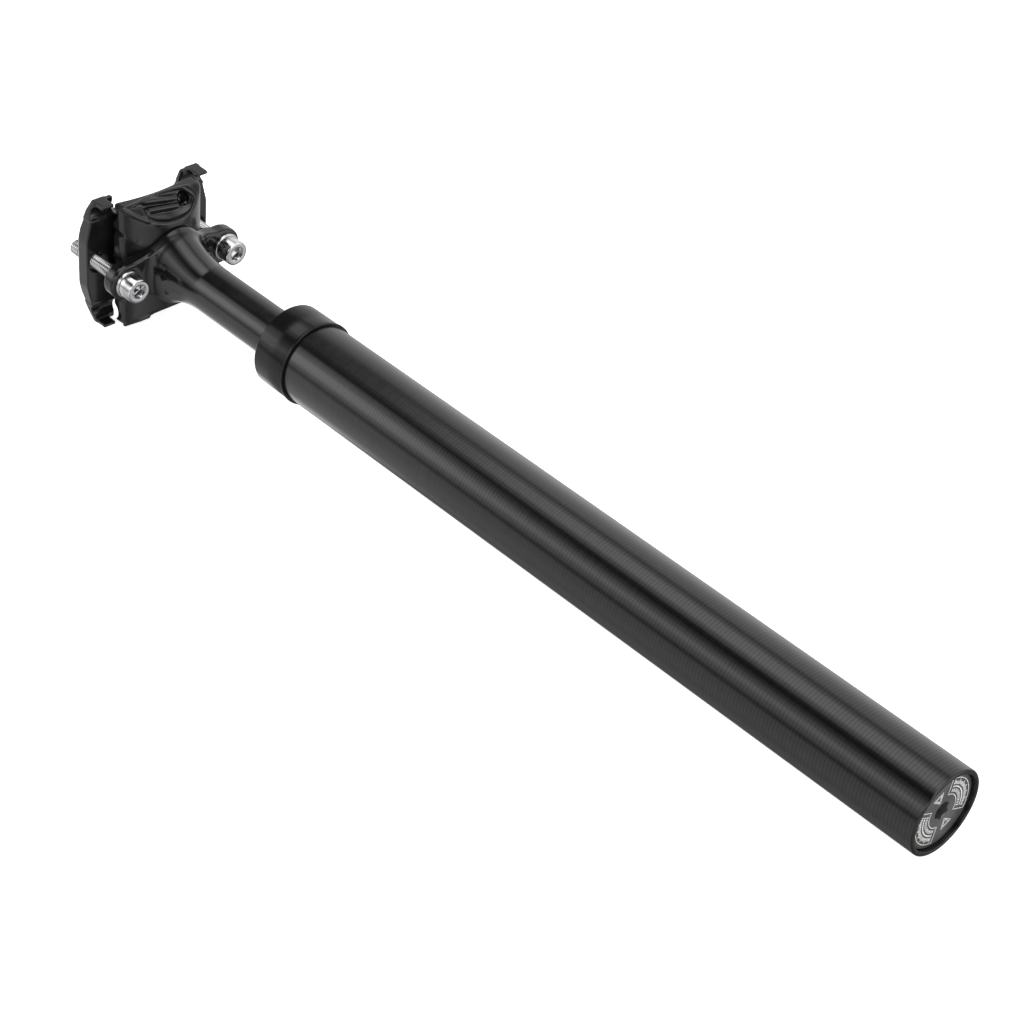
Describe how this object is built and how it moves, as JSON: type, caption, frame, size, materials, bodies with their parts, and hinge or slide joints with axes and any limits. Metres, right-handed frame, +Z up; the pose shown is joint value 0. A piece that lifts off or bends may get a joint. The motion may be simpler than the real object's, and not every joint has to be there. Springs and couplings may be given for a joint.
{
  "type": "suspension seatpost",
  "caption": "Telescopic suspension seatpost with a sprung inner shaft, a threaded collar, a screw-in preload plug and a two-bolt saddle clamp with tilt adjustment.",
  "frame": {"origin": "centre of the post's lower end, on the post's axis", "axes": "+X from the saddle clamp to the lower end, +Y fore and aft along the saddle rails, +Z up with the post lying on its side"},
  "size_m": [0.4172, 0.061, 0.054],
  "materials": {
    "tube_black": "black anodised, turned",
    "collar_black": "gloss black anodised",
    "forged_black": "forged and gloss black",
    "clamp_black": "satin black",
    "bolt_steel": "bright plated",
    "nut_steel": "plain steel",
    "spring_steel": "oiled spring steel",
    "seal_rubber": "matt black rubber",
    "elastomer": "microcellular elastomer",
    "bushing_polymer": "bearing polymer",
    "key_brass": "brass",
    "plug_black": "black anodised with a laser marked face"
  },
  "bodies": {
    "post_tube": {"outer_tube": "tube_black", "lock_ring": "collar_black", "collar_nut": "collar_black", "collar_seal_ring": "seal_rubber", "upper_bushing": "bushing_polymer", "wiper_seal": "seal_rubber", "main_spring": "spring_steel"},
    "preload_seat": {"lower_spring_seat": "bushing_polymer", "elastomer_core": "elastomer"},
    "preload_plug": {"preload_plug": "plug_black", "plug_seal_ring": "seal_rubber"},
    "shaft": {"forged_head": "forged_black", "guide_bushing": "bushing_polymer", "anti_rotation_keys": "key_brass", "top_out_sleeve": "bushing_polymer", "top_out_bumper": "elastomer", "shaft_end_nut": "nut_steel", "upper_spring_seat": "bushing_polymer", "front_washer": "bolt_steel", "rear_washer": "bolt_steel"},
    "cradle": {"lower_cradle": "clamp_black"},
    "clamp": {"top_clamp": "clamp_black"},
    "front_bolt": {"front_bolt": "bolt_steel"},
    "rear_bolt": {"rear_bolt": "bolt_steel"},
    "front_nut": {"front_barrel_nut": "nut_steel"},
    "rear_nut": {"rear_barrel_nut": "nut_steel"}
  },
  "joints": [
    {"name": "suspension_travel", "type": "slide", "parent": "post_tube", "child": "shaft", "axis": [1, 0, 0], "range_m": [0, 0.04], "stiffness_N_per_m": 20000, "springref_m": -0.004, "deforming": ["main_spring"]},
    {"name": "preload_depth", "type": "slide", "parent": "post_tube", "child": "preload_seat", "axis": [-1, 0, 0], "range_m": [0, 0.0045], "deforming": ["main_spring"]},
    {"name": "preload_turn", "type": "hinge", "parent": "preload_seat", "child": "preload_plug", "pos_m": [0, 0, 0], "axis": [-1, 0, 0], "range_deg": [0, 1080]},
    {"name": "saddle_tilt", "type": "hinge", "parent": "shaft", "child": "cradle", "pos_m": [-0.407, 0, 0], "axis": [0, 0, 1], "range_deg": [-6, 6]},
    {"name": "clamp_lift", "type": "slide", "parent": "cradle", "child": "clamp", "axis": [-1, 0, 0], "range_m": [0, 0.003]},
    {"name": "front_bolt_turn", "type": "hinge", "parent": "shaft", "child": "front_bolt", "pos_m": [-0.38, -0.0233, 0], "axis": [1, 0, 0], "range_deg": [0, 1080]},
    {"name": "rear_bolt_turn", "type": "hinge", "parent": "shaft", "child": "rear_bolt", "pos_m": [-0.38, 0.0233, 0], "axis": [1, 0, 0], "range_deg": [0, 1080]},
    {"name": "front_nut_swivel", "type": "hinge", "parent": "clamp", "child": "front_nut", "pos_m": [-0.408, -0.0233, 0], "axis": [0, 0, 1], "range_deg": [-6, 6]},
    {"name": "rear_nut_swivel", "type": "hinge", "parent": "clamp", "child": "rear_nut", "pos_m": [-0.408, 0.0233, 0], "axis": [0, 0, 1], "range_deg": [-6, 6]}
  ],
  "couplings": [
    {"joint": "preload_turn", "follows": "preload_depth", "rad_per_m": 4188.8},
    {"joint": "front_bolt_turn", "follows": "clamp_lift", "rad_per_m": 6283.2},
    {"joint": "rear_bolt_turn", "follows": "clamp_lift", "rad_per_m": 6283.2},
    {"joint": "front_nut_swivel", "follows": "saddle_tilt", "ratio": -1},
    {"joint": "rear_nut_swivel", "follows": "saddle_tilt", "ratio": -1}
  ]
}
